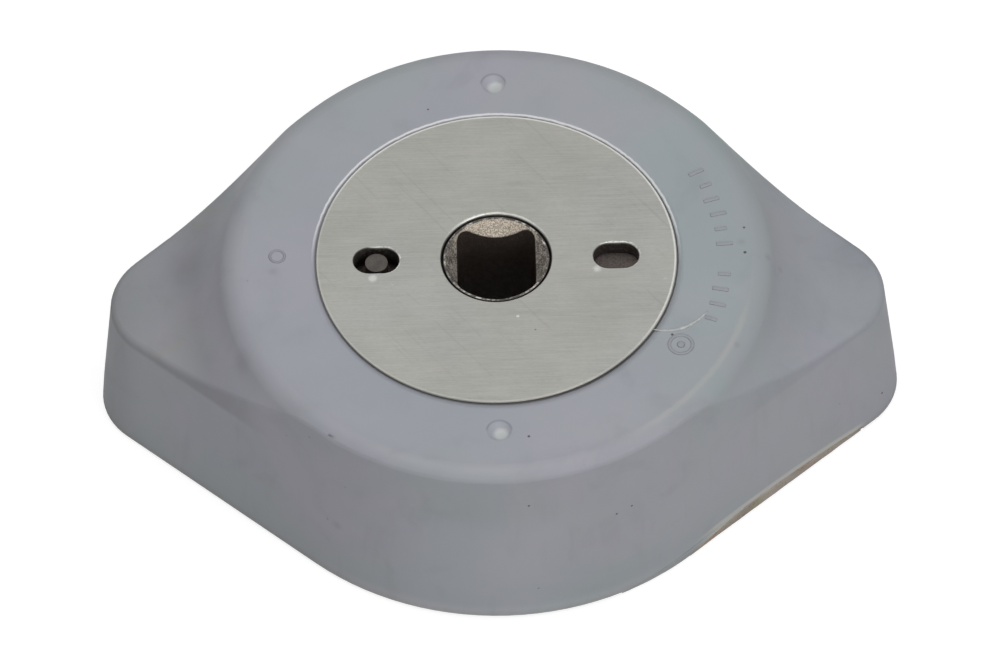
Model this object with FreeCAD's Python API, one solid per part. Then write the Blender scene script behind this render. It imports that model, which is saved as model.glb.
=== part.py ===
import FreeCAD, Part
import math
import os

# A bonded rubber transmission mount. The gearbox bracket sits on the round plate on top, and two
# bolts from below hold the base plate to the crossmember. Millimetres, +Z up, origin in the middle
# of the underside, X along the two ears.

# Overall form of the rubber moulding
height = 47.0                # underside of the base to the top of the round plate
middle_radius = 62.4         # round middle of the outline, at the underside
ear_reach = 72.1             # centre of each rounded ear end, from the middle
ear_radius = 15.5            # rounded ear end, at the underside
skirt_flare = 0.6            # the foot of the walls stands out by this much
skirt_flare_height = 7.0
middle_draft = 4.0           # degrees that the round middle wall leans in, above the foot
ear_end_draft = 6.2          # degrees that the ear ends lean in, their flanks stay upright
shoulder_flat_radius = 55.4  # where the flat ring round the plate starts to turn down
shoulder_radius = 5.2        # rounding of that shoulder
shoulder_turn = 64.0         # degrees that the shoulder turns through
sweep_radius = 17.0          # hollow curve from the shoulder out to the ear
ear_slope = 6.0              # degrees that the ear top falls outwards
rim_rounding = 1.4           # rounding along the top edge of the walls
underside_step = 0.8         # rubber stays this much above the steel base

# Round plate on top
plate_diameter = 78.3
plate_thickness = 3.5
plate_bore = 24.0
plate_chamfer = 0.2          # round its outer edge
bore_chamfer = 0.2
plate_proud = 0.2            # plate stands this much above the rubber
slot_offset = 26.0           # centre of each slot, from the middle
slot_length = 10.0
slot_width = 7.0
groove_width = 1.2           # soft dip in the rubber along the plate's edge
groove_depth = 0.5
groove_shift = 0.2           # the dip is this much wider at the front right than all round
groove_lip = 1.5             # rounding where the dip meets the flat ring
slot_chamfer = 0.2

# Cast core with a square socket
core_flange_radius = 34.0
core_flange_thickness = 7.0
core_neck_radius = 23.5      # just under the flange
core_foot_radius = 18.0      # at its lower end
core_foot_height = 9.0       # lower end of the core, above the underside
core_corner = 3.0            # rounding between neck and flange
core_edge = 1.2              # rounding of its outer edges
spigot_clearance = 0.5       # all round, between the core's spigot and the plate's bore
spigot_below_face = 0.5
socket_side = 17.1
socket_corner = 3.0
lead_in_rim = 11.05          # radius of the conical lead-in at its mouth
lead_in_angle = 53.0         # degrees of the lead-in from the horizontal
pin_pocket_length = 12.0
pin_pocket_width = 9.0
pin_pocket_depth = 3.6
plain_pocket_depth = 0.6
pin_diameter = 4.9
pin_below_face = 1.0
pin_grip = 2.6               # length of the pin pressed into the core, below the pocket

# Steel base plate
base_thickness = 3.0
base_middle_cover = 1.9      # rubber outside the plate's edge at its round middle
base_ear_cover = 0.5         # and at its round ends
base_opening_radius = 44.0
base_collar_height = 14.0    # top of the collar drawn up round the opening
base_collar_lean = 12.0      # degrees that the collar leans in
base_bend = 3.0              # inside radius of the bend into the collar
ear_bolt_clearance = 10.5    # hole in the base plate under each nut

# Weld nuts in the ears
thread_diameter = 10.0
thread_chamfer = 0.8
nut_across_flats = 17.0
nut_height = 9.0
nut_collar_diameter = 15.5
bolt_room = 7.0              # free depth above the nut for the bolt's end

# Hollow under the rubber
hollow_outer_radius = 41.0   # at the underside
hollow_sleeve = 3.0          # rubber round the core's lower end
hollow_lean = 6.0            # degrees that the hollow's outer wall leans in
hollow_height = 20.0         # top of the hollow, above the underside
foot_pad = 2.4               # rubber stop under the core
mouth_clearance = 1.4        # the stop's square mouth is wider than the socket by this, each side

# Small moulded marks and the trimmed skirt
mark_offset = 47.4           # two round witness marks, front and back
mark_shift = 0.9             # and this much further back than the middle
mark_diameter = 5.4
mark_depth = 0.8
skirt_trim_height = 3.3      # where the skirt is trimmed, its edge rises to this
skirt_trim_end_height = 1.5  # and comes down to this before it stops short
skirt_trim_length = 74.0
skirt_trim_depth = 5.0
skirt_trim_shift = 13.0      # the trim's middle lies this far from the flank's, towards the front

UP = FreeCAD.Vector(0, 0, 1)
ORIGIN = FreeCAD.Vector(0, 0, 0)
rubber_top = height - plate_proud
plate_underside = height - plate_thickness
core_top = plate_underside
spigot_radius = plate_bore / 2 - spigot_clearance


def vec(x, y, z):
    return FreeCAD.Vector(x, y, z)


def rad(degrees):
    return math.radians(degrees)


class Pen:
    """Draws a half section in the XZ plane from straight runs and tangent arcs."""

    def __init__(self, x, z, heading=0.0):
        self.x, self.z, self.heading = x, z, heading
        self.start = (x, z)
        self.edges = []

    def to(self, x, z):
        begin = vec(self.x, 0, self.z)
        end = vec(x, 0, z)
        self.edges.append(Part.LineSegment(begin, end).toShape())
        self.heading = math.degrees(math.atan2(z - self.z, x - self.x))
        self.x, self.z = x, z
        return self

    def turn(self, radius, degrees):
        """Arc that leaves along the heading. A positive turn is to the left."""
        side = 1 if degrees > 0 else -1
        normal = rad(self.heading + 90 * side)
        cx = self.x + radius * math.cos(normal)
        cz = self.z + radius * math.sin(normal)

        def on_arc(share):
            angle = rad(self.heading - 90 * side + degrees * share)
            return vec(cx + radius * math.cos(angle), 0, cz + radius * math.sin(angle))

        end = on_arc(1)
        self.edges.append(Part.Arc(vec(self.x, 0, self.z), on_arc(0.5), end).toShape())
        self.x, self.z = end.x, end.z
        self.heading += degrees
        return self

    def revolved(self):
        self.to(*self.start)
        return Part.Face(Part.Wire(self.edges)).revolve(ORIGIN, UP, 360)


def cylinder(radius, z_low, z_high, x=0.0, y=0.0):
    return Part.makeCylinder(radius, z_high - z_low, vec(x, y, z_low), UP)


def cone(radius_low, radius_high, z_low, z_high, x=0.0, y=0.0):
    return Part.makeCone(radius_low, radius_high, z_high - z_low, vec(x, y, z_low), UP)


def prism(wire, z_low, z_high):
    wire = wire.copy()
    wire.translate(vec(0, 0, z_low))
    return Part.Face(wire).extrude(vec(0, 0, z_high - z_low))


def lozenge(radius, reach, end_radius):
    """A round middle and two round ends, joined by straight tangent flanks."""
    across = (radius - end_radius) / reach
    along = math.sqrt(1 - across * across)
    shoulder = (radius * across, radius * along)
    corner = (reach + end_radius * across, end_radius * along)
    tip = reach + end_radius

    def point(pair, sx, sy):
        return vec(pair[0] * sx, pair[1] * sy, 0)

    def line(begin, end):
        return Part.LineSegment(begin, end).toShape()

    def arc(begin, middle, end):
        return Part.Arc(begin, middle, end).toShape()

    edges = [
        arc(point(shoulder, 1, 1), vec(0, radius, 0), point(shoulder, -1, 1)),
        line(point(shoulder, -1, 1), point(corner, -1, 1)),
        arc(point(corner, -1, 1), vec(-tip, 0, 0), point(corner, -1, -1)),
        line(point(corner, -1, -1), point(shoulder, -1, -1)),
        arc(point(shoulder, -1, -1), vec(0, -radius, 0), point(shoulder, 1, -1)),
        line(point(shoulder, 1, -1), point(corner, 1, -1)),
        arc(point(corner, 1, -1), vec(tip, 0, 0), point(corner, 1, 1)),
        line(point(corner, 1, 1), point(shoulder, 1, 1)),
    ]
    return Part.Wire(edges)


def obround(length, width, x=0.0):
    """A slot outline along X, centred on x."""
    half = length / 2 - width / 2
    r = width / 2
    a, b = vec(x - half, r, 0), vec(x + half, r, 0)
    c, d = vec(x + half, -r, 0), vec(x - half, -r, 0)
    return Part.Wire([
        Part.LineSegment(a, b).toShape(),
        Part.Arc(b, vec(x + half + r, 0, 0), c).toShape(),
        Part.LineSegment(c, d).toShape(),
        Part.Arc(d, vec(x - half - r, 0, 0), a).toShape(),
    ])


def square_prism(side, corner, z_low, z_high):
    box = Part.makeBox(side, side, z_high - z_low, vec(-side / 2, -side / 2, z_low))
    upright = [e for e in box.Edges if abs(e.Vertexes[0].Z - e.Vertexes[1].Z) > 1e-6]
    return box.makeFillet(corner, upright)


def lies_on(edge, shape):
    first, last = edge.ParameterRange
    for share in (0.1, 0.5, 0.9):
        spot = Part.Vertex(edge.valueAt(first + (last - first) * share))
        if spot.distToShape(shape)[0] > 1e-3:
            return False
    return True


def walls():
    """The moulding's side walls: a flared foot, and the drafted walls drawn up from it."""
    foot_top = underside_step + skirt_flare_height
    middle_in = height * math.tan(rad(middle_draft))
    end_in = height * math.tan(rad(ear_end_draft))
    upright_radius = ear_radius - skirt_flare
    low = lozenge(middle_radius, ear_reach, ear_radius)
    waist = lozenge(middle_radius - skirt_flare, ear_reach, upright_radius)
    high = lozenge(middle_radius - skirt_flare - middle_in, ear_reach - end_in, upright_radius)
    low.translate(vec(0, 0, underside_step))
    waist.translate(vec(0, 0, foot_top))
    high.translate(vec(0, 0, foot_top + height))
    foot = Part.makeLoft([low, waist], True, True)
    return foot.fuse(Part.makeLoft([waist, high], True, True))


def hat():
    """The moulding's top, turned: flat ring, shoulder, hollow curve and the fall of the ears."""
    beyond = ear_reach + 2 * ear_radius
    pen = Pen(0, rubber_top)
    pen.to(shoulder_flat_radius, rubber_top)
    pen.turn(shoulder_radius, -shoulder_turn)
    pen.turn(sweep_radius, shoulder_turn - ear_slope)
    fall = (beyond - pen.x) * math.tan(rad(ear_slope))
    pen.to(beyond, pen.z - fall)
    pen.to(beyond, -height)
    pen.to(0, -height)
    return pen.revolved()


def outer_form():
    sides = walls()
    top = hat()
    body = sides.common(top)
    body = body.Solids[0]
    side_shell = Part.Shell([f for f in sides.Faces if abs(f.normalAt(0, 0).z) < 0.5])
    top_shell = Part.Shell([f for f in top.Faces if f.BoundBox.ZMax > 0])
    rim = [e for e in body.Edges if lies_on(e, side_shell) and lies_on(e, top_shell)]
    return body.makeFillet(rim_rounding, rim)


def top_plate():
    plate = cylinder(plate_diameter / 2, plate_underside, height)
    plate = plate.cut(cylinder(plate_bore / 2, plate_underside - 1, height + 1))
    for chamfer, radius in ((plate_chamfer, plate_diameter / 2), (bore_chamfer, plate_bore / 2)):
        rim = [e for e in plate.Edges if ring(e, radius, height)]
        plate = plate.makeChamfer(chamfer, rim)
    for side in (-1, 1):
        slot = prism(obround(slot_length, slot_width, side * slot_offset), 0, height + 1)
        plate = plate.cut(slot)
    slots = [e for e in plate.Edges
             if e.BoundBox.ZMin > height - 1e-6 and e.BoundBox.YLength < slot_width + 1e-3
             and abs(abs(e.CenterOfMass.x) - slot_offset) < slot_length]
    return plate.makeChamfer(slot_chamfer, slots)


def core_blank():
    """The casting before its socket and pockets: flange, tapered neck and spigot."""
    neck_height = core_top - core_flange_thickness
    pen = Pen(0, core_foot_height)
    pen.to(core_foot_radius, core_foot_height)
    pen.to(core_neck_radius, neck_height)
    pen.to(core_flange_radius, neck_height)
    pen.to(core_flange_radius, core_top)
    pen.to(0, core_top)
    body = pen.revolved()
    inner = [e for e in body.Edges if ring(e, core_neck_radius, neck_height)]
    body = body.makeFillet(core_corner, inner)
    outer = [e for e in body.Edges
             if ring(e, core_foot_radius, core_foot_height)
             or ring(e, core_flange_radius, neck_height)]
    body = body.makeFillet(core_edge, outer)
    return body.fuse(cylinder(spigot_radius, core_top - 1, height - spigot_below_face))


def core():
    """The casting that the plate is bonded to, with the square socket right through it."""
    body = core_blank()
    body = body.cut(square_prism(socket_side, socket_corner, 0, height + 1))
    body = body.cut(lead_in())
    body = body.cut(pocket(-slot_offset, pin_pocket_depth))
    body = body.cut(pocket(slot_offset, plain_pocket_depth))
    body = body.cut(pin())
    return body.removeSplitter()


def ring(edge, radius, z):
    box = edge.BoundBox
    return abs(box.ZMin - z) < 1e-4 and abs(box.ZMax - z) < 1e-4 and abs(box.XMax - radius) < 1e-4


def lead_in():
    mouth = height - spigot_below_face
    depth = lead_in_rim * math.tan(rad(lead_in_angle))
    point = cone(0, lead_in_rim, mouth - depth, mouth)
    return point.fuse(cylinder(lead_in_rim, mouth, height + 1))


def pocket(x, depth):
    outline = obround(pin_pocket_length, pin_pocket_width, x)
    return prism(outline, core_top - depth, core_top + 1)


def pin():
    low = core_top - pin_pocket_depth - pin_grip
    return cylinder(pin_diameter / 2, low, height - pin_below_face, -slot_offset)


def base_plate():
    """Stamped plate with a collar drawn up round its opening."""
    outline = lozenge(middle_radius - base_middle_cover, ear_reach, ear_radius - base_ear_cover)
    plate = prism(outline, 0, base_thickness)
    outer_bend = base_bend + base_thickness
    bend_turn = 90 + base_collar_lean
    pen = Pen(base_opening_radius + outer_bend, 0, 180)
    pen.turn(outer_bend, -bend_turn)
    rise = base_collar_height - pen.z
    pen.to(pen.x - rise * math.tan(rad(base_collar_lean)), base_collar_height)
    pen.to(pen.x + base_thickness * math.cos(rad(base_collar_lean)),
           pen.z + base_thickness * math.sin(rad(base_collar_lean)))
    low_x = base_opening_radius + outer_bend - base_bend * math.sin(rad(bend_turn))
    low_z = outer_bend - base_bend * math.cos(rad(bend_turn))
    pen.to(low_x, low_z)
    pen.heading = 270 + base_collar_lean
    pen.turn(base_bend, bend_turn)
    collar = pen.revolved()
    plate = plate.cut(cylinder(base_opening_radius + outer_bend, -1, base_thickness + 1))
    plate = plate.fuse(collar)
    for side in (-1, 1):
        hole = cylinder(ear_bolt_clearance / 2, -1, base_thickness + 1, side * ear_reach)
        plate = plate.cut(hole)
    return plate.removeSplitter()


def weld_nut(side):
    """Hexagon nut with a round collar at its top, standing on the base plate."""
    x = side * ear_reach
    low, high = base_thickness, base_thickness + nut_height
    corner = nut_across_flats / math.sqrt(3)
    points = [vec(x + corner * math.cos(rad(60 * i)), corner * math.sin(rad(60 * i)), 0)
              for i in range(7)]
    nut = prism(Part.makePolygon(points), low, high)
    slant = corner - nut_collar_diameter / 2
    nut = nut.common(cone(corner + nut_height, nut_collar_diameter / 2, low,
                          high, x).fuse(cylinder(corner, low, high - slant, x)))
    bore = cylinder(thread_diameter / 2, low - 1, high + 1, x)
    bore = bore.fuse(cone(thread_diameter / 2 + thread_chamfer, thread_diameter / 2,
                          low, low + thread_chamfer, x))
    return nut.cut(bore)


def hollow():
    """The open ring under the rubber between the core and the collar, arched at its top."""
    inner = core_foot_radius + hollow_sleeve
    lean = math.tan(rad(hollow_lean))
    pad_low = core_foot_height - foot_pad
    inner_high = inner + lean * hollow_height / 2
    outer_high = hollow_outer_radius - lean * hollow_height
    arch = (outer_high - inner_high) / 2
    spring = hollow_height - arch
    pen = Pen(0, -1)
    pen.to(hollow_outer_radius, -1)
    pen.to(outer_high, spring)
    pen.heading = 90
    pen.turn(arch, 180)
    pen.to(inner, pad_low)
    pen.to(0, pad_low)
    return pen.revolved()


def skirt_trim():
    """What is trimmed off the skirt's lower edge along the front right flank, in a long arch."""
    across = (middle_radius - ear_radius) / ear_reach
    turn = math.degrees(math.acos(across))
    half = skirt_trim_length / 2
    start, end = vec(0, -half, 0), vec(0, half, skirt_trim_end_height)
    foot = vec(0, half, 0)
    blade = Part.Wire([
        Part.Arc(start, vec(0, 0, skirt_trim_height), end).toShape(),
        Part.LineSegment(end, foot).toShape(),
        Part.LineSegment(foot, start).toShape(),
    ])
    blade = Part.Face(blade).extrude(vec(2 * skirt_trim_depth, 0, 0))
    along = math.sqrt(1 - across * across)
    middle = ((middle_radius + ear_radius) * across + ear_reach) / 2
    run = (middle_radius + ear_radius) / 2 * along
    blade.translate(vec(-skirt_trim_depth, -skirt_trim_shift, 0))
    blade.rotate(ORIGIN, UP, -turn)
    blade.translate(vec(middle, -run, 0))
    return blade


def dish(side):
    """Shallow round mark in the ring, front or back: part of a ball."""
    half = mark_diameter / 2
    ball = (half * half + mark_depth * mark_depth) / (2 * mark_depth)
    centre = vec(0, side * mark_offset + mark_shift, rubber_top - mark_depth + ball)
    return Part.makeSphere(ball, centre)


def rubber_body(metal):
    body = outer_form()
    seat = cylinder(plate_diameter / 2, plate_underside, height + 1)
    groove_radius = plate_diameter / 2 + groove_width
    groove = cone(plate_diameter / 2, groove_radius + groove_width,
                  rubber_top - groove_depth, rubber_top + groove_depth, groove_shift, -groove_shift)
    body = body.cut(seat).cut(groove)
    lip = [e for e in body.Edges if ring(e, groove_radius + groove_shift, rubber_top)]
    body = body.makeFillet(groove_lip, lip)
    body = body.cut(hollow())
    mouth = socket_side + 2 * mouth_clearance
    body = body.cut(square_prism(mouth, socket_corner, 0, core_foot_height + 1))
    for side in (-1, 1):
        nut_top = base_thickness + nut_height
        room = cylinder(thread_diameter / 2 + thread_chamfer, 0, nut_top + bolt_room,
                        side * ear_reach)
        body = body.cut(room)
        body = body.cut(dish(side))
    body = body.cut(skirt_trim())
    for piece in metal:
        body = body.cut(piece)
    return body.removeSplitter()


def build():
    base = base_plate()
    nuts = {"weld_nut_left": weld_nut(-1), "weld_nut_right": weld_nut(1)}
    return {
        "top_plate": top_plate(),
        "core": core(),
        "locating_pin": pin(),
        "base_plate": base,
        **nuts,
        "rubber_body": rubber_body([core_blank(), base, *nuts.values()]),
    }


os.makedirs("parts", exist_ok=True)
for name, piece in build().items():
    solids = piece.Solids
    print(name, "solids", len(solids), "valid", piece.isValid(), "volume", round(piece.Volume, 1))
    shape = solids[0] if len(solids) == 1 else piece
    shape.exportStep(f"parts/{name}.step")
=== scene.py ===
import math
import random

import bmesh
import bpy
from mathutils import Matrix, Vector, noise


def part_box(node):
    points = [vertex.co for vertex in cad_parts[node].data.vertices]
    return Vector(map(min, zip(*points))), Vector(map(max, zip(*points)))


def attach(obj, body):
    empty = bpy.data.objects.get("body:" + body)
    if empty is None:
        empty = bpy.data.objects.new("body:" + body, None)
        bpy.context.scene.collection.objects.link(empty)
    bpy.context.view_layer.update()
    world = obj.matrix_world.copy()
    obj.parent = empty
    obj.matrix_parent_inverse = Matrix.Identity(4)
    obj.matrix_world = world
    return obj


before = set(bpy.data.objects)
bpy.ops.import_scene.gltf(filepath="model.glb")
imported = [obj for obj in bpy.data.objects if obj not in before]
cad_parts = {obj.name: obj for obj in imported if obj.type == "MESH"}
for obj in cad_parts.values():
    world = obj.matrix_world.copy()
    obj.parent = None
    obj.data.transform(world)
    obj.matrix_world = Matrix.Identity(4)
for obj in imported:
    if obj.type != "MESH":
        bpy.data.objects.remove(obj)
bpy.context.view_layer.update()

MM = 0.001
UP = Vector((0, 0, 1))

# Places that the pieces share, all read from the frame
plate_low, plate_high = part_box("top_plate")
rubber_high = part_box("rubber_body")[1]
core_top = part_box("core")[1].z
pin_low, pin_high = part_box("locating_pin")
nut_low, nut_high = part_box("weld_nut_right")
plate_radius = plate_high.x
plate_top = plate_high.z
rubber_top = rubber_high.z
slot_offset = (pin_low.x + pin_high.x) / -2
ear_reach = (nut_low.x + nut_high.x) / 2
ear_radius = rubber_high.x - ear_reach

# The front right flank: its direction outwards, and along it towards the right ear
lean = (rubber_high.y - ear_radius) / ear_reach
flank_out = Vector((lean, -math.sqrt(1 - lean * lean), 0))
flank_run = Vector((-flank_out.y, flank_out.x, 0))

# Sizes that the looks need and the boxes don't give
SHOULDER = 55.6 * MM              # where the flat ring turns down
EAR_FOOT = 60.5 * MM              # where the shoulder has become the ear
EAR_EDGE = 32.2 * MM              # height of the ears' top edge
SLOT_HALF_RUN = 1.5 * MM          # half the straight part of a slot
SLOT_RADIUS = 3.5 * MM
BORE_RADIUS = 12.0 * MM
LEAD_IN_RADIUS = 11.05 * MM
LEAD_IN_SLOPE = math.tan(math.radians(53))
THREAD_RADIUS = 5.0 * MM
THREAD_PITCH = 1.5 * MM
MARKS = (-46.5 * MM, 48.3 * MM)   # the two round marks, front and back
MARK_RADIUS = 2.7 * MM

# The trimmed skirt's edge: a low arch along the front right flank
TRIM_MIDDLE = 14.4 * MM
TRIM_PEAK = 3.3 * MM
TRIM_TILT = 0.0203
TRIM_BEND = 1.86                  # per metre
STEEL_START = 0.5 * MM            # along the flank, where bare steel begins to show
STEEL_FULL = 16 * MM              # and where it reaches up to the trimmed skirt
FOOT_LIFT = 0.06 * MM             # clearance of the strips above the floor


class Value:
    """A number, colour or direction in a finish. Sums written on values add their nodes."""

    def __init__(self, finish, socket):
        self.finish = finish
        self.socket = socket

    def combine(self, operation, *others):
        inputs = dict(enumerate(others))
        return self.finish.node("ShaderNodeMath", {"operation": operation}, inputs)

    def __add__(self, other):
        return self.combine("ADD", self, other)

    def __radd__(self, other):
        return self.combine("ADD", other, self)

    def __sub__(self, other):
        return self.combine("SUBTRACT", self, other)

    def __rsub__(self, other):
        return self.combine("SUBTRACT", other, self)

    def __mul__(self, other):
        return self.combine("MULTIPLY", self, other)

    def __rmul__(self, other):
        return self.combine("MULTIPLY", other, self)

    def __truediv__(self, other):
        return self.combine("DIVIDE", self, other)

    def __rtruediv__(self, other):
        return self.combine("DIVIDE", other, self)

    def __abs__(self):
        return self.combine("ABSOLUTE", self)

    def root(self):
        return self.combine("SQRT", self)

    def least(self, other):
        return self.combine("MINIMUM", self, other)

    def most(self, other):
        return self.combine("MAXIMUM", self, other)


class Finish:
    """One procedural material on a Principled shader."""

    def __init__(self, name):
        self.material = bpy.data.materials.new(name)
        self.material.use_nodes = True
        self.tree = self.material.node_tree
        self.shader = self.tree.nodes["Principled BSDF"]
        self.place = self.node("ShaderNodeTexCoord", output="Object")
        axes = self.tree.nodes.new("ShaderNodeSeparateXYZ")
        self.tree.links.new(self.place.socket, axes.inputs[0])
        self.x, self.y, self.z = (Value(self, axes.outputs[i]) for i in range(3))

    def node(self, kind, settings=None, inputs=None, output=0):
        """Any node: its type, its settings, the values or links of its sockets."""
        node = self.tree.nodes.new(kind)
        for name, value in (settings or {}).items():
            setattr(node, name, value)
        for key, value in (inputs or {}).items():
            self.feed(node.inputs[key], value)
        return Value(self, node.outputs[output])

    def feed(self, socket, value):
        """Links a value. A plain number or colour is set on the socket itself."""
        if isinstance(value, Value):
            self.tree.links.new(value.socket, socket)
        elif isinstance(value, tuple) and socket.type == "RGBA":
            socket.default_value = (*value, 1)
        else:
            socket.default_value = value

    def set(self, **sockets):
        """Feeds the shader: base_color stands for its Base Color, and so on."""
        for name, value in sockets.items():
            title = name.replace("_", " ").title().replace("Ior", "IOR")
            self.feed(self.shader.inputs[title], value)

    def scaled(self, x, y, z, turn=0.0, at=(0, 0, 0)):
        """Object coordinates with a scale along each axis, turned about Z first."""
        moved = self.place
        if turn:
            spin = {"rotation_type": "Z_AXIS"}
            moved = self.node("ShaderNodeVectorRotate", spin, {"Vector": moved, "Angle": turn})
        return self.node("ShaderNodeMapping", None,
                         {"Vector": moved, "Location": at, "Scale": (x, y, z)})

    def moved(self, *at):
        """Object coordinates moved aside, so that two noises don't run alike."""
        return self.scaled(1, 1, 1, at=at)

    def noise(self, scale, detail, roughness=0.5, distortion=0.0, vector=None):
        return self.node("ShaderNodeTexNoise", None, {
            "Vector": vector or self.place, "Scale": scale, "Detail": detail,
            "Roughness": roughness, "Distortion": distortion})

    def cells(self, scale, vector=None):
        """Distance from the nearest of many scattered points."""
        return self.node("ShaderNodeTexVoronoi", None,
                         {"Vector": vector or self.place, "Scale": scale}, output="Distance")

    def fade(self, value, start, end):
        """0 at start and 1 at end, with a soft slope between."""
        return self.node("ShaderNodeMapRange", {"interpolation_type": "SMOOTHSTEP"}, {
            "Value": value, "From Min": start, "From Max": end})

    def band(self, value, centre, half, soft):
        """1 within half of the centre, fading to 0 over soft."""
        return 1 - self.fade(abs(value - centre), half, half + soft)

    def mix(self, share, first, second):
        return self.node("ShaderNodeMix", {"data_type": "RGBA"},
                         {0: share, 6: first, 7: second}, output=2)

    def tint(self, share, colour, factor):
        """The colour times a factor colour, by a share."""
        return self.node("ShaderNodeMix", {"data_type": "RGBA", "blend_type": "MULTIPLY"},
                         {0: share, 6: colour, 7: factor}, output=2)

    def reach(self, x, y):
        """Distance from an upright line through x, y."""
        flat = self.node("ShaderNodeVectorMath", {"operation": "MULTIPLY"},
                         {0: self.place, 1: (1, 1, 0)})
        return self.node("ShaderNodeVectorMath", {"operation": "DISTANCE"},
                         {0: flat, 1: (x, y, 0)}, output="Value")

    def distance(self, x, y, z):
        return self.node("ShaderNodeVectorMath", {"operation": "DISTANCE"},
                         {0: self.place, 1: (x, y, z)}, output="Value")

    def bump(self, height, distance, strength, below=None):
        inputs = {"Height": height, "Distance": distance, "Strength": strength}
        if below is not None:
            inputs["Normal"] = below
        return self.node("ShaderNodeBump", None, inputs)


# Rubber
SPECKS = (  # small dark pits in the skin: x, y, z and radius in millimetres
    (6.3, -48.2, 46.8, 0.40), (6.0, -59.5, 37.0, 0.36), (24.8, -55.1, 27.4, 0.34),
    (28.1, -53.5, 28.0, 0.34), (83.9, -9.2, 7.2, 0.40), (37.6, -21.8, 46.8, 0.42),
    (-14.4, 41.5, 46.8, 0.30), (53.9, 0.1, 46.7, 0.50), (53.9, 6.9, 46.7, 0.40),
    (-66.0, -25.5, 15.0, 0.40),
)
SMUDGES = (  # soft dark patches: x, y, z and radius in millimetres
    (-48.4, -2.4, 46.8, 1.9), (58.9, -0.4, 45.4, 1.5), (61.5, -0.7, 41.4, 1.6),
    (-67.8, 7.6, 35.7, 7.0), (-55.6, -24.6, 43.8, 4.0), (53.2, 3.0, 46.8, 1.6),
    (51.5, -24.8, 46.8, 1.3), (-41.0, -48.0, 24.0, 3.5), (-46.0, -45.0, 21.0, 2.5),
    (-58.0, -38.0, 12.0, 3.0), (-36.0, -50.0, 18.0, 2.0),
)


def trim_height(run):
    """Height of the trimmed skirt's edge, by the distance along the front right flank.

    It takes a plain number for a shape, or a Value for a finish.
    """
    past = run - TRIM_MIDDLE
    return TRIM_PEAK + TRIM_TILT * past - TRIM_BEND * past * past


def tones_and_painted_light(f, r, colour):
    """Tone by place on the moulding: tints, a darker bottom, painted shade on the ears and
    painted light on the front and the ring.
    """
    # The ears are painted in shade below, the left one deeper.
    side = f.fade(abs(f.x), 0.034, 0.050)
    above = f.fade(f.z, EAR_EDGE - 0.0012, EAR_EDGE + 0.0006)
    ear = side * above * f.fade(r, EAR_FOOT, EAR_FOOT + 0.006)
    left = f.fade(f.x, 0.010, -0.010)
    # Painted shade on the right ear's far corner.
    far_corner_shade = 1 - f.fade(f.distance(0.080, 0.012, EAR_EDGE), 0.002, 0.016)
    olive = f.fade(f.noise(48, 4, 0.6, 1.0), 0.5, 0.62) * left * ear
    # Painted shade on the left ear's end.
    left_end_shade = f.fade(f.x, -0.076, -0.086)
    # Painted light on the middle of the front wall.
    front = f.band(f.x, -0.004, 0.008, 0.018)
    front = front * f.fade(f.z, 0.036, 0.026) * f.fade(f.y, -0.050, -0.056)
    # A painted sheen: the flat ring a little lighter and bluer.
    ring = f.fade(r, SHOULDER + 0.001, SHOULDER - 0.003) * f.fade(f.z, 0.0455, 0.0460)
    green = f.fade(f.noise(30, 2, 0.5, 0, f.moved(0.9, 0.4, 0)), 0.47, 0.60)
    # A painted highlight low on the front walls; the lowest band is darker and browner.
    foot = f.fade(f.z, 0.0050, 0.0015) * f.fade(f.y, -0.045, -0.058)
    lowest = f.fade(f.z, 0.0030, 0.0012)
    for share, factor in (
            (ear * (1 - left), (0.91, 0.925, 0.935)),
            (far_corner_shade, (0.82, 0.84, 0.85)),
            (ear * left, (0.785, 0.78, 0.775)),
            (olive, (1.0, 0.99, 0.92)),
            (left_end_shade, (0.88, 0.87, 0.87)),
            (front, (1.07, 1.06, 1.08)),
            (ring, (1.02, 1.035, 1.045)),
            (green * f.fade(f.y, 0.015, 0.035), (0.965, 1.01, 0.985)),
            (foot, (1.16, 1.14, 1.14)),
            (lowest * 0.7, (0.90, 0.86, 0.81))):
        colour = f.tint(share, colour, factor)
    return colour


def plate_surround(f, r, ragged, colour):
    """Beside the plate: painted shade in the narrow gap at its edge, a soft shade in front, and
    a painted highlight on the lip behind.
    """
    behind = f.fade(f.y, -0.004, 0.016)
    rightward = f.fade(f.x, -0.010, 0.030)
    shade = f.fade(r, plate_radius + 0.0016, plate_radius + 0.0002) * (1 - behind * 0.8)
    colour = f.tint(shade * (rightward * 0.5 + 0.5), colour, (0.80, 0.79, 0.78))
    # A painted highlight on the rubber lip behind the plate.
    lip = f.band(r + ragged, plate_radius + 0.00075, 0.0001, 0.0002) * behind
    colour = f.mix(lip * 0.75, colour, (0.86, 0.85, 0.86))
    # Painted shade: near-black in the narrow gap where the rubber meets the plate.
    crevice_shade = f.fade(r + ragged * 0.7, plate_radius + 0.00045, plate_radius + 0.00025)
    return f.mix(crevice_shade * (rightward * 0.5 + 0.45), colour, (0.045, 0.043, 0.045))


def pale_edges(f, r, ragged, colour):
    """The pale crease at the front right of the ring, and a painted highlight on the lip over
    the trimmed skirt.
    """
    crease = f.band(r + ragged * 2, SHOULDER + 0.0002, 0.0002, 0.0009)
    crease = crease * f.fade(f.x, 0.026, 0.036) * f.fade(f.y, -0.010, -0.020)
    colour = f.mix(crease * 0.33, colour, (0.46, 0.45, 0.42))
    run = f.x * flank_run.x + f.y * flank_run.y
    out = f.x * flank_out.x + f.y * flank_out.y
    # A painted highlight on the lip over the trimmed skirt.
    edge = f.fade(f.z - trim_height(run), 0.0016, 0.0009) * f.fade(out, 0.0595, 0.0605)
    edge = edge * f.fade(run, 0.0, 0.010) * f.fade(run, 0.053, 0.049)
    return f.mix(edge * 0.6, colour, (0.56, 0.55, 0.50))


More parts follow.
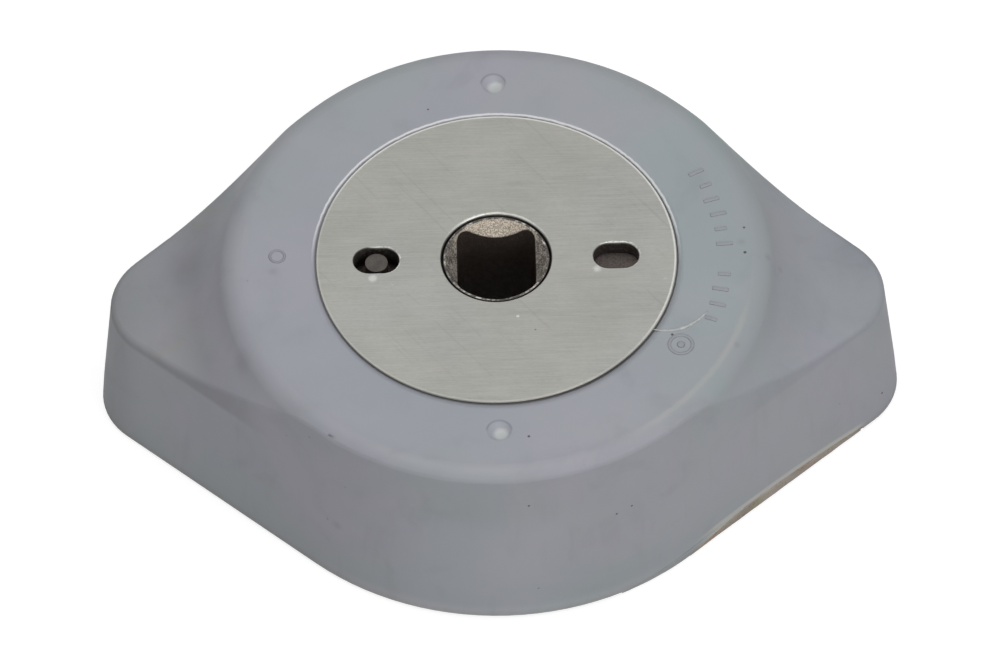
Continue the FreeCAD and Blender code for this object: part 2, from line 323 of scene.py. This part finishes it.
def marks_of_use(f, patch, colour):
    """Soft smudges and small pits, some at places seen in the photo and some scattered."""
    for x, y, z, radius in SMUDGES:
        gap = f.distance(x * MM, y * MM, z * MM) + (patch - 0.5) * radius * MM * 1.2
        dark = (1 - f.fade(gap, 0, radius * MM)) * 0.75
        colour = f.tint(dark, colour, (0.84, 0.83, 0.82))
    for x, y, z, radius in SPECKS:
        gap = f.distance(x * MM, y * MM, z * MM)
        dark = 1 - f.fade(gap, radius * 0.4 * MM, radius * MM)
        colour = f.mix(dark, colour, (0.05, 0.047, 0.05))
    pit = 1 - f.fade(f.cells(150), 0.022, 0.05)
    pit = pit * f.fade(f.noise(40, 1), 0.56, 0.60)
    return f.mix(pit * 0.5, colour, (0.11, 0.105, 0.11))


def grey_rubber():
    """Matt grey skin with a light bloom, cloudy in tone and hue."""
    f = Finish("grey_rubber_skin")
    r = f.reach(0, 0)
    cloud = f.noise(26, 5, 0.55, 0.6)
    hue = f.noise(17, 3, 0.5, 0.8, f.moved(0.3, 0.1, 0))
    patch = f.noise(85, 4, 0.6, 0.5)
    runs = f.noise(1, 3, 0.55, 0.2, f.scaled(190, 190, 45))
    runs = f.fade(runs, 0.52, 0.72) * f.fade(f.z, 0.044, 0.036)
    ragged = (f.noise(500, 3, 0.6) - 0.5) * 0.0004
    colour = f.mix(f.fade(cloud, 0.36, 0.66), (0.322, 0.343, 0.364), (0.350, 0.355, 0.384))
    colour = f.tint(f.fade(hue, 0.52, 0.66), colour, (0.965, 1.02, 0.995))
    colour = f.tint(f.fade(hue, 0.47, 0.36) * 0.8, colour, (1.01, 0.975, 1.03))
    colour = f.tint(f.fade(patch, 0.52, 0.76) * 0.6, colour, (0.9, 0.9, 0.9))
    colour = f.tint(runs, colour, (0.955, 0.955, 0.95))
    colour = tones_and_painted_light(f, r, colour)
    colour = plate_surround(f, r, ragged, colour)
    colour = pale_edges(f, r, ragged, colour)
    colour = marks_of_use(f, patch, colour)

    # The two round marks: painted shade on the rim at the back, and a glossy spot at the front
    # right with a painted highlight in it
    rough = f.fade(patch, 0.2, 0.9) * 0.12 + 0.46
    for y in MARKS:
        rim = f.band(f.reach(0, y), MARK_RADIUS, 0.0, 0.0004)
        rim = rim * f.fade(f.y, y - 0.0005, y + 0.001)
        spot = f.reach(0.0004, y - 0.0007) + (patch - 0.5) * 0.002
        shine = 1 - f.fade(spot, 0.0010, 0.0022)
        colour = f.tint(rim, colour, (0.72, 0.72, 0.72))
        colour = f.mix(shine * 0.7, colour, (0.60, 0.62, 0.60))
        rough = rough - shine * 0.22

    skin = f.bump(f.noise(900, 3, 0.6), 0.00003, 0.35)
    skin = f.bump(f.noise(160, 3, 0.5), 0.00016, 0.35, skin)
    skin = f.bump(f.noise(55, 2, 0.5), 0.0006, 0.3, skin)
    f.set(base_color=colour, roughness=rough, specular_ior_level=0.42, normal=skin)
    return f.material


def relief_rubber():
    """Raised moulded marks: the same skin, with a painted highlight on top and painted shade
    round the foot.
    """
    f = Finish("relief_rubber_painted_shade_and_light")
    # The top is painted lighter as lit, the dark rest is painted shade round the foot.
    lit_top = f.fade(f.z, rubber_top + 0.04 * MM, rubber_top + 0.16 * MM)
    cloud = f.fade(f.noise(300, 3), 0.3, 0.7)
    colour = f.mix(cloud, (0.165, 0.172, 0.190), (0.215, 0.220, 0.240))
    colour = f.mix(lit_top * 0.8, colour, (0.335, 0.350, 0.378))
    f.set(base_color=colour, roughness=0.5, specular_ior_level=0.42,
          normal=f.bump(f.noise(900, 3, 0.6), 0.00003, 0.35))
    return f.material


def pale_flash():
    """The thin wisp of flash, paler than the skin."""
    f = Finish("pale_rubber_flash")
    colour = f.mix(f.fade(f.noise(900, 3), 0.35, 0.7), (0.42, 0.42, 0.42), (0.56, 0.55, 0.54))
    f.set(base_color=colour, roughness=0.5, normal=f.bump(f.noise(2500, 2), 0.00002, 0.4))
    return f.material


# Metals
def slot_gap(f, centre):
    """Distance outwards from the edge of the slot on the given side."""
    along = (abs(f.x - centre) - SLOT_HALF_RUN).most(0)
    return (along * along + f.y * f.y).root() - SLOT_RADIUS


def ground_face(f, lines, fibres):
    """Colour of the ground face: fine lines across, cloudy patches, scuffs, nicks and dots."""
    streaks = f.noise(1, 2, 0.5, 0, f.scaled(60, 900, 200, at=(3, 1, 0)))
    scuffs = f.noise(1, 2, 0.5, 0, f.scaled(40, 1500, 200, 0.9))
    cloud = f.noise(60, 4, 0.6)
    bluish = f.noise(34, 3, 0.5, 0, f.moved(0.5, 0, 0))
    colour = f.mix(f.fade(cloud, 0.3, 0.7), (0.235, 0.236, 0.216), (0.262, 0.261, 0.240))
    colour = f.tint(f.fade(bluish, 0.45, 0.62) * 0.8, colour, (0.985, 0.995, 1.04))
    colour = f.mix(f.fade(lines, 0.35, 0.7) * 0.4, colour, (0.31, 0.308, 0.288))
    colour = f.tint(f.fade(fibres, 0.5, 0.8), colour, (0.90, 0.90, 0.895))
    colour = f.tint(f.fade(streaks, 0.56, 0.7) * 0.7, colour, (0.93, 0.93, 0.93))
    colour = f.tint(f.fade(scuffs, 0.64, 0.72) * 0.8, colour, (0.90, 0.90, 0.89))
    nick = 1 - f.fade(f.cells(210), 0.04, 0.10)
    nick = nick * f.fade(f.noise(75, 2), 0.56, 0.62)
    colour = f.mix(nick * 0.8, colour, (0.50, 0.49, 0.46))
    dot = 1 - f.fade(f.cells(120, f.moved(0.07, 0.03, 0)), 0.015, 0.035)
    dot = dot * f.fade(f.noise(60, 1), 0.50, 0.54)
    return f.mix(dot * 0.8, colour, (0.10, 0.09, 0.08))


def painted_edge_glints(f, r, ragged):
    """Painted highlights where the edges catch the light: the rim behind and at the right, the
    bore's far side, the slots' right sides.
    """
    bore = f.fade(r - BORE_RADIUS + ragged, 0.0006, 0.0002) * f.fade(f.y, 0.004, 0.011)
    left = f.fade(slot_gap(f, -slot_offset) + ragged, 0.00035, 0.0001)
    left = left * f.fade(f.x + f.y * 0.4, -slot_offset - 0.001, -slot_offset + 0.002)
    right = f.fade(slot_gap(f, slot_offset) + ragged, 0.00035, 0.0001)
    right_side = f.fade(f.x + f.y, slot_offset - 0.001, slot_offset + 0.003)
    right = right * (right_side * 0.7 + 0.3)
    rim = f.fade(r + ragged * 0.25, plate_radius - 0.0007, plate_radius - 0.0003)
    rim = rim * (f.fade(f.y + f.x * 0.6, -0.015, 0.010) * 0.7 + 0.2)
    return (bore + left + right + rim).least(1)


def ground_aluminium():
    f = Finish("ground_aluminium_face")
    r = f.reach(0, 0)
    lines = f.noise(1, 3, 0.6, 0, f.scaled(110, 3400, 400))
    fibres = f.noise(1, 4, 0.7, 0, f.scaled(900, 5200, 400))
    ragged = (f.noise(1100, 3, 0.7) - 0.5) * 0.0009
    glint_mask = painted_edge_glints(f, r, ragged)
    colour = ground_face(f, lines, fibres)
    # Painted shade on the chamfer, and painted highlights where the edges glint.
    chamfer_shade = f.fade(f.z, plate_top - 0.00004, plate_top - 0.0001)
    colour = f.tint(chamfer_shade * (1 - glint_mask) * 0.9, colour, (0.30, 0.285, 0.27))
    colour = f.mix(glint_mask * 0.85, colour, (0.52, 0.515, 0.485))

    # The walls of the holes are speckled, and painted near-black as shade below their top edge
    wall = f.fade(f.z, plate_top - 0.0003, plate_top - 0.0008)
    wall = wall * f.fade(r, plate_radius - 0.0003, plate_radius - 0.0008)
    speckle = f.noise(2200, 3, 0.75)
    sheared_and_shaded = f.mix(f.fade(speckle, 0.45, 0.72), (0.024, 0.020, 0.018), (0.13, 0.112, 0.102))
    colour = f.mix(wall, colour, sheared_and_shaded)

    # A painted highlight beside each slot, where the face tilts up to the edge
    glint_left_slot = f.reach(-slot_offset - 0.0008, -0.0050) + ragged
    glint_right_slot = f.reach(slot_offset - 0.0042, -0.0036) + ragged
    pale = 1 - f.fade(glint_left_slot, 0.0004, 0.0013)
    pale = pale + (1 - f.fade(glint_right_slot, 0.0002, 0.0012))
    colour = f.mix(pale * 0.6, colour, (0.46, 0.465, 0.45))

    face = f.bump(lines, 0.00002, 0.6)
    face = f.bump(fibres, 0.00001, 0.6, face)
    face = f.bump(speckle * wall, 0.0002, 0.8, face)
    rough = f.fade(fibres, 0.25, 0.8) * 0.16 + 0.42 - glint_mask * 0.12
    f.set(base_color=colour, metallic=0.75 - wall * 0.6, roughness=rough, normal=face)
    return f.material


def bright_burr():
    f = Finish("bright_burr_metal")
    shine = f.fade(f.noise(1500, 3), 0.35, 0.65)
    colour = f.mix(shine, (0.34, 0.33, 0.31), (0.60, 0.59, 0.57))
    f.set(base_color=colour, metallic=0.9, roughness=0.34,
          normal=f.bump(f.noise(4000, 2), 0.00004, 0.6))
    return f.material


def cast_core():
    """Rough casting: the lead-in, the square socket, and the pockets under the slots."""
    f = Finish("cast_core_skin")
    r = f.reach(0, 0)
    lump = f.noise(700, 4, 0.65)
    grit = f.noise(3000, 3, 0.8)
    fleck = f.noise(4200, 2, 0.7, 0, f.moved(0.4, 0.2, 0))
    sunk = core_top - f.z
    cone = f.band(sunk - (LEAD_IN_RADIUS - r) * LEAD_IN_SLOPE, 0.0, 0.0002, 0.0002)
    cone = cone * f.fade(r, LEAD_IN_RADIUS + 0.0001, LEAD_IN_RADIUS - 0.0001)

    # The socket is painted a near-black brown as shade, with paler flecks near its top
    colour = f.mix(f.fade(lump, 0.3, 0.7), (0.034, 0.024, 0.019), (0.062, 0.046, 0.037))
    flecks = f.fade(fleck, 0.55, 0.66) * f.fade(sunk, 0.012, 0.003)
    colour = f.mix(flecks, colour, (0.17, 0.145, 0.12))

    # The pocket under the right slot is paler and rusty at its right end
    pocket = f.fade(abs(f.x), 0.0165, 0.0175)
    bottom = f.mix(f.fade(grit, 0.35, 0.65), (0.060, 0.048, 0.042), (0.125, 0.104, 0.094))
    rusty = f.fade(f.x - f.y, slot_offset + 0.001, slot_offset + 0.005)
    bottom = f.mix(rusty * 0.6, bottom, (0.17, 0.105, 0.075))
    colour = f.mix(pocket * f.fade(f.x, -0.01, 0.01), colour, bottom)

    # The lead-in: its far side painted pale cream and grainy as the lit wall, its sides grey
    # and speckled
    far = f.fade(f.y, 0.0035, 0.0085)
    lit_far_wall = f.mix(f.fade(grit, 0.38, 0.64), (0.27, 0.225, 0.18), (0.80, 0.72, 0.60))
    speckle = f.fade(grit * 0.6 + lump * 0.4, 0.46, 0.56)
    grey = f.mix(speckle, (0.055, 0.047, 0.040), (0.40, 0.365, 0.32))
    colour = f.mix(cone, colour, f.mix(far, grey, lit_far_wall))

    # The spigot's end is a painted highlight, a thin line broken here and there, with painted
    # shade in the gap round it
    end = f.fade(sunk, 0.00012, 0.00004)
    end = end * f.fade(r, LEAD_IN_RADIUS - 0.0003, LEAD_IN_RADIUS - 0.0001)
    broken = f.fade(f.noise(650, 4, 0.75), 0.44, 0.66)
    outer = f.fade(r, LEAD_IN_RADIUS + 0.00025, LEAD_IN_RADIUS + 0.0004)
    line = f.mix(broken * (1 - outer), (0.050, 0.043, 0.038), (0.62, 0.59, 0.55))
    colour = f.mix(end, colour, line)
    gap_shade = f.fade(r, LEAD_IN_RADIUS + 0.0004, LEAD_IN_RADIUS + 0.00045)
    gap_shade = gap_shade * f.fade(sunk, 0.0002, 0.0006)
    colour = f.mix(gap_shade * (1 - pocket), colour, (0.020, 0.017, 0.016))
    f.set(base_color=colour, metallic=0.35, roughness=0.5,
          normal=f.bump(lump * 0.5 + grit + fleck * 0.4, 0.00018, 0.9))
    return f.material


def dull_steel():
    """Phosphated steel of the pin and the nuts, with faint turning marks."""
    f = Finish("dull_steel_skin")
    cloud = f.noise(420, 5, 0.65)
    grain = f.noise(2200, 3, 0.6)
    turned = f.noise(1, 2, 0.6, 0, f.scaled(3000, 500, 3000))
    colour = f.mix(f.fade(cloud, 0.3, 0.7), (0.040, 0.034, 0.029), (0.070, 0.060, 0.051))
    colour = f.mix(f.fade(turned, 0.45, 0.75) * 0.4, colour, (0.090, 0.079, 0.069))
    f.set(base_color=colour, metallic=0.3, roughness=f.fade(grain, 0.2, 0.8) * 0.2 + 0.5,
          normal=f.bump(grain + cloud, 0.00004, 0.6))
    return f.material


def base_steel():
    """Brownish steel of the base plate, mottled with rust and olive."""
    f = Finish("base_steel_skin")
    cloud = f.noise(90, 5, 0.6)
    rust = f.noise(150, 4, 0.65, 0, f.moved(0.2, 0, 0))
    grain = f.noise(1300, 3, 0.7)
    colour = f.mix(f.fade(cloud, 0.3, 0.7), (0.300, 0.262, 0.222), (0.400, 0.358, 0.312))
    colour = f.tint(f.fade(rust, 0.52, 0.64), colour, (1.02, 0.84, 0.72))
    colour = f.tint(f.fade(rust, 0.46, 0.36) * 0.9, colour, (0.98, 1.02, 0.84))
    colour = f.tint(f.fade(grain, 0.52, 0.75), colour, (0.62, 0.58, 0.54))
    f.set(base_color=colour, metallic=0.2, roughness=0.62,
          normal=f.bump(grain + rust * 0.5, 0.00006, 0.6))
    return f.material


def brown_crumbs():
    f = Finish("brown_crumbs")
    colour = f.mix(f.fade(f.noise(900, 3), 0.4, 0.6), (0.09, 0.07, 0.045), (0.20, 0.17, 0.11))
    f.set(base_color=colour, roughness=0.85, normal=f.bump(f.noise(3000, 3), 0.00008, 0.8))
    return f.material


# Pieces
def dress(node, material):
    """Gives a CAD node its finish."""
    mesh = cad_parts[node].data
    mesh.materials.clear()
    mesh.materials.append(material)


def piece(name, shape, material, smooth=True):
    """A finished bmesh as a piece of the part. Dirt has no slot in the record."""
    bmesh.ops.recalc_face_normals(shape, faces=shape.faces)
    mesh = bpy.data.meshes.new(name)
    shape.to_mesh(mesh)
    shape.free()
    for face in mesh.polygons:
        face.use_smooth = smooth
    mesh.materials.append(material)
    holder = bpy.data.objects.new(name, mesh)
    bpy.context.scene.collection.objects.link(holder)
    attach(holder, "root")


def swept_piece(name, path, sections, material, smooth=True):
    """A piece along a path: sections[i] is a ring of (side, up) offsets at path[i]."""
    shape = bmesh.new()
    last = len(path) - 1
    rings = []
    for i, spot in enumerate(path):
        ahead = (path[min(i + 1, last)] - path[max(i - 1, 0)]).normalized()
        side = ahead.cross(UP).normalized()
        up = side.cross(ahead)
        rings.append([shape.verts.new(spot + side * a + up * b) for a, b in sections[i]])
    for first, second in zip(rings, rings[1:]):
        for k in range(len(first)):
            n = (k + 1) % len(first)
            shape.faces.new((first[k], first[n], second[n], second[k]))
    shape.faces.new(rings[0])
    shape.faces.new(reversed(rings[-1]))
    piece(name, shape, material, smooth)


def circle(radius, sides):
    turn = 2 * math.pi / sides
    return [(radius * math.cos(i * turn), radius * math.sin(i * turn)) for i in range(sides)]


def raised_bars(material):
    """Plain bars along the right of the ring, where the moulding carries low relief."""
    radius, length, width, rise = 49.3 * MM, 3.6 * MM, 0.95 * MM, 0.19 * MM
    first, last, count, gap = 27.0, -21.0, 11, 6
    step_out, shorter, rounding = 0.3 * MM, 0.25, 0.17 * MM
    shape = bmesh.new()
    for i in range(count):
        if i == gap:
            continue
        angle = math.radians(first + (last - first) * i / (count - 1))
        turn = Matrix.Rotation(angle, 4, "Z")
        place = Matrix.Translation((radius + step_out * (i % 2), 0, rubber_top))
        size = Matrix.Diagonal((length * (1 - shorter * (i % 3 == 1)), width, 2 * rise, 1))
        bmesh.ops.create_cube(shape, size=1, matrix=turn @ place @ size)
    bmesh.ops.bevel(shape, geom=shape.edges[:], offset=rounding, segments=3, profile=0.5,
                    affect="EDGES", material=-1)
    piece("raised_bars", shape, material)


def ring_mark(name, x, y, radius, width, rise, material, dot=0.0):
    """A low raised ring, made by spinning a half-round section, with a dot in it or none."""
    foot = rubber_top - 0.02 * MM
    shape = bmesh.new()
    section = []
    for degrees in range(0, 181, 30):
        angle = math.radians(degrees)
        section.append(shape.verts.new((x + radius + width * math.cos(angle), y,
                                        foot + rise * math.sin(angle))))
    lines = [shape.edges.new(pair) for pair in zip(section, section[1:])]
    bmesh.ops.spin(shape, geom=section + lines, cent=(x, y, 0), axis=UP, angle=2 * math.pi,
                   steps=40, use_merge=True)
    if dot:
        flat = Matrix.Diagonal((1, 1, rise / dot, 1))
        bmesh.ops.create_uvsphere(shape, u_segments=16, v_segments=8, radius=dot,
                                  matrix=Matrix.Translation((x, y, rubber_top)) @ flat)
    piece(name, shape, material)


def flash_curl(material):
    """A thin wisp of moulding flash that lies on the ring at the right of the plate."""
    bends = [Vector(p) * MM for p in ((33.6, -20.3, 0), (37.4, -21.4, 0), (41.6, -20.6, 0),
                                      (45.4, -15.6, 0))]
    steps, tip, swell = 28, 0.05, 0.20
    path, sections = [], []
    for i in range(steps + 1):
        t = i / steps
        s = 1 - t
        spot = (bends[0] * s ** 3 + bends[1] * (3 * s * s * t) + bends[2] * (3 * s * t * t)
                + bends[3] * t ** 3)
        thick = MM * (tip + swell * math.sin(math.pi * t) ** 0.7)
        path.append(spot + UP * (rubber_top + thick * 0.2))
        sections.append([(a * 1.5, b * 0.55) for a, b in circle(thick, 8)])
    swept_piece("flash_curl", path, sections, material)


BURRS = (  # name, centre, half run, radius, first and last angle, thickness in mm, seed
    ("slot_burr_left", -slot_offset, SLOT_HALF_RUN, SLOT_RADIUS, 105, -75, 0.09, 1.0),
    ("slot_burr_right", slot_offset, SLOT_HALF_RUN, SLOT_RADIUS, 120, -20, 0.08, 4.0),
    ("slot_burr_near", slot_offset, SLOT_HALF_RUN, SLOT_RADIUS, -60, -150, 0.06, 7.0),
    ("bore_burr", 0, 0, BORE_RADIUS, 112, 70, 0.12, 2.0),
)


def burr(name, centre, run, radius, first, last, thick, seed, material):
    """A thin ragged edge left by the punch, round part of a hole, from one angle to another."""
    steps, lumps = 70, 900
    offset, wander = 0.12 * MM, 0.05 * MM
    height, cap = plate_top - 0.13 * MM, 0.12 * MM
    path, sections = [], []
    for i in range(steps + 1):
        angle = math.radians(first + (last - first) * i / steps)
        along, across = math.cos(angle), math.sin(angle)
        wild = noise.noise(Vector((along * radius * lumps, across * radius * lumps, seed)))
        taper = min(1, 6 * i / steps, 6 * (steps - i) / steps)
        size = thick * MM * (0.25 + 0.75 * taper * max(0.1, 0.55 + 1.6 * wild))
        out = radius + offset + wander * wild
        shift = run if along > 0 else -run
        path.append(Vector((centre + shift + out * along, out * across, height)))
        sections.append([(a, min(b, cap)) for a, b in circle(size, 6)])
    swept_piece(name, path, sections, material)


def steel_top(run):
    """Height of the bare steel edge: low at the front, then up to the trimmed skirt."""
    share = min(1.0, max(0.0, run / STEEL_FULL))
    share = share * share * (3 - 2 * share)
    return 0.35 * MM + (trim_height(run) - 0.45 * MM) * share


def steel_span(run):
    return FOOT_LIFT, steel_top(run)


def skirt_span(run):
    """Rubber from the floor, and from where the steel begins only above the steel."""
    low = steel_top(run) if run > STEEL_START else FOOT_LIFT
    return low, trim_height(run) - 0.08 * MM


def foot_strip(name, first, last, span, material):
    """A strip along the front right flank, out to the skirt's outline.

    span gives its lowest and highest point at a distance along the flank.
    """
    steps = 90
    reach = rubber_high.y - 0.12 * MM
    depth, least, round_off, waviness = 2.3 * MM, 0.2 * MM, 0.3, 0.06 * MM
    path, sections = [], []
    for i in range(steps + 1):
        run = first + (last - first) * i / steps
        angle = min(0.0, run / reach)
        out = flank_out * math.cos(angle) + flank_run * math.sin(angle)
        path.append(out * reach + flank_run * max(0.0, run))
        wave = waviness * noise.noise(Vector((run * 300, 2, 0)))
        low, top = span(run)
        top = max(top + wave, low + least)
        soft = min(round_off * MM, (top - low) * round_off)
        sections.append([(wave, low + soft), (wave, top - soft), (-soft, top), (-depth, top),
                         (-depth, low), (-soft, low)])
    swept_piece(name, path, sections, material, smooth=False)


def crumbs(material):
    """Crumbs of dirt in the left slot, beside the pin."""
    chance = random.Random(5)
    shape = bmesh.new()
    for _ in range(16):
        radius = MM * chance.uniform(0.18, 0.5)
        place = Vector((-slot_offset - MM * chance.uniform(2.9, 4.3),
                        -MM * chance.uniform(0.2, 2.2),
                        plate_low.z - MM * chance.uniform(0.2, 3.0)))
        size = Matrix.Diagonal((1, chance.uniform(0.6, 1), chance.uniform(0.5, 0.9), 1))
        made = bmesh.ops.create_icosphere(shape, subdivisions=2, radius=radius,
                                          matrix=Matrix.Translation(place) @ size)
        for vertex in made["verts"]:
            lump = noise.noise(vertex.co * 2500)
            vertex.co = place + (vertex.co - place) * (1 + 0.3 * lump)
    piece("slot_crumbs", shape, material)


def thread(name, x, material):
    """The turns of the thread inside a weld nut, fading out over ten steps at each end."""
    depth, sides, bite, fade_steps = 0.75 * MM, 40, 0.05 * MM, 10
    turns = int((nut_high.z - nut_low.z) / THREAD_PITCH) - 1
    low = nut_low.z + THREAD_PITCH * 0.75
    half_root, half_crest = THREAD_PITCH * 0.48, THREAD_PITCH * 0.06
    path, sections = [], []
    for i in range(turns * sides + 1):
        angle = 2 * math.pi * i / sides
        out = Vector((math.cos(angle), math.sin(angle), 0))
        path.append(Vector((x, 0, low + THREAD_PITCH * i / sides)) + out * THREAD_RADIUS)
        share = min(1, i / fade_steps, (turns * sides - i) / fade_steps)
        inner = depth * share + 0.02 * MM
        sections.append([(bite, -half_root), (-inner, -half_crest), (-inner, half_crest),
                         (bite, half_root)])
    swept_piece(name, path, sections, material, smooth=False)


# Stage
LAMPS = (  # name, azimuth (0 in front, 90 to the right), elevation, power in watts
    ("overhead_box", 0, 89, 6.6),
    ("back_box", 180, 58, 1.25),
    ("back_left_box", -130, 40, 0.5),
    ("right_box", 40, 35, 3.5),
    ("low_box", 0, 12, 2.4),
)
LAMP_DISTANCE = 1.2
LAMP_SIDE = 0.7
LAMP_AIM = Vector((0, 0, 0.03))
WORLD_LEVEL = 0.13
FLOOR_HALF = 1.6
FLOOR_GLOW = 0.82                 # with the lamps on FLOOR_DULL this reaches white
FLOOR_DULL = (0.30, 0.30, 0.30)
FLOOR_PAINT = (0.82, 0.82, 0.82)


def soft_box(name, azimuth, elevation, power):
    """A square area lamp that looks at the middle of the part."""
    lamp = bpy.data.lights.new(name, "AREA")
    lamp.shape = "RECTANGLE"
    lamp.size = lamp.size_y = LAMP_SIDE
    lamp.energy = power
    a, e = math.radians(azimuth), math.radians(elevation)
    place = Vector((math.sin(a) * math.cos(e), -math.cos(a) * math.cos(e), math.sin(e)))
    holder = bpy.data.objects.new(name, lamp)
    holder.matrix_world = (Matrix.Translation(place * LAMP_DISTANCE + LAMP_AIM)
                           @ place.to_track_quat("Z", "Y").to_matrix().to_4x4())
    bpy.context.scene.collection.objects.link(holder)


def surroundings():
    """White to the camera and in reflections, and only a weak light on the part."""
    world = bpy.data.worlds.new("studio")
    bpy.context.scene.world = world
    world.use_nodes = True
    tree = world.node_tree
    sky = tree.nodes["Background"]
    sky.inputs["Color"].default_value = (1, 1, 1, 1)
    path = tree.nodes.new("ShaderNodeLightPath")
    seen = path.outputs["Is Camera Ray"]
    for ray in ("Is Transmission Ray", "Is Glossy Ray"):
        either = tree.nodes.new("ShaderNodeMath")
        either.operation = "MAXIMUM"
        tree.links.new(seen, either.inputs[0])
        tree.links.new(path.outputs[ray], either.inputs[1])
        seen = either.outputs[0]
    level = tree.nodes.new("ShaderNodeMapRange")
    level.inputs["To Min"].default_value = WORLD_LEVEL
    level.inputs["To Max"].default_value = 1.0
    tree.links.new(seen, level.inputs["Value"])
    tree.links.new(level.outputs[0], sky.inputs["Strength"])


def floor():
    """A pale floor that is white to the camera and keeps the part's shadow."""
    sheet = bmesh.new()
    bmesh.ops.create_grid(sheet, x_segments=1, y_segments=1, size=FLOOR_HALF)
    mesh = bpy.data.meshes.new("floor")
    sheet.to_mesh(mesh)
    sheet.free()
    base = bpy.data.objects.new("floor", mesh)
    bpy.context.scene.collection.objects.link(base)
    f = Finish("floor_paint")
    f.set(base_color=FLOOR_PAINT, roughness=0.9, specular_ior_level=0.0)
    glow = f.node("ShaderNodeEmission", None, {"Strength": FLOOR_GLOW})
    dull = f.node("ShaderNodeBsdfDiffuse", None, {"Color": FLOOR_DULL})
    both = f.node("ShaderNodeAddShader", None, {0: glow, 1: dull})
    seen = f.node("ShaderNodeLightPath", output="Is Camera Ray")
    paint = Value(f, f.shader.outputs[0])
    choice = f.node("ShaderNodeMixShader", None, {0: seen, 1: paint, 2: both})
    f.feed(f.tree.nodes["Material Output"].inputs["Surface"], choice)
    mesh.materials.append(f.material)


def camera():
    """A long lens from the front, above. The object point is the middle of the top face."""
    elevation = math.radians(52.456)
    turn = math.radians(-0.507)
    roll = math.radians(1.630)
    distance = 2.0098
    pixels_per_mm = 4.615
    frame_width = 1000
    aim_right, aim_down = 0.817 * MM, 16.48 * MM
    right = Vector((math.cos(turn), -math.sin(turn), 0))
    back = Vector((math.sin(turn), math.cos(turn), 0))
    towards = -math.cos(elevation) * back + math.sin(elevation) * UP
    up = math.sin(elevation) * back + math.cos(elevation) * UP
    across = math.cos(roll) * right - math.sin(roll) * up
    upright = math.cos(roll) * up + math.sin(roll) * right
    target = Vector((0, 0, plate_top))
    place = target + distance * towards
    aim = target + aim_right * across - aim_down * upright
    look = (place - aim).normalized()
    across = (across - across.dot(look) * look).normalized()
    upright = look.cross(across)
    lens = bpy.data.cameras.new("camera")
    lens.sensor_width = 36
    lens.lens = lens.sensor_width * pixels_per_mm * distance / MM / frame_width
    lens.clip_end = 20
    holder = bpy.data.objects.new("camera", lens)
    axes = Matrix((across, upright, look)).transposed()
    holder.matrix_world = Matrix.Translation(place) @ axes.to_4x4()
    bpy.context.scene.collection.objects.link(holder)
    bpy.context.scene.camera = holder


bpy.context.scene.view_settings.view_transform = "Standard"
camera()
for lamp in LAMPS:
    soft_box(*lamp)
surroundings()
floor()

rubber = grey_rubber()
steel = dull_steel()
base_metal = base_steel()
dress("rubber_body", rubber)
dress("top_plate", ground_aluminium())
dress("core", cast_core())
dress("base_plate", base_metal)
for node in ("locating_pin", "weld_nut_left", "weld_nut_right"):
    dress(node, steel)

relief = relief_rubber()
raised_bars(relief)
ring_mark("round_mark", 39.4 * MM, -24.5 * MM, 2.5 * MM, 0.42 * MM, 0.18 * MM, relief, 0.9 * MM)
ring_mark("small_ring", -47.5 * MM, 1.7 * MM, 1.6 * MM, 0.32 * MM, 0.15 * MM, relief)
flash_curl(pale_flash())
shiny = bright_burr()
for edge in BURRS:
    burr(*edge, shiny)
foot_strip("base_edge", STEEL_START, 50.8 * MM, steel_span, base_metal)
foot_strip("skirt_edge", -17.5 * MM, STEEL_FULL, skirt_span, rubber)
crumbs(brown_crumbs())
thread("thread_left", -ear_reach, steel)
thread("thread_right", ear_reach, steel)
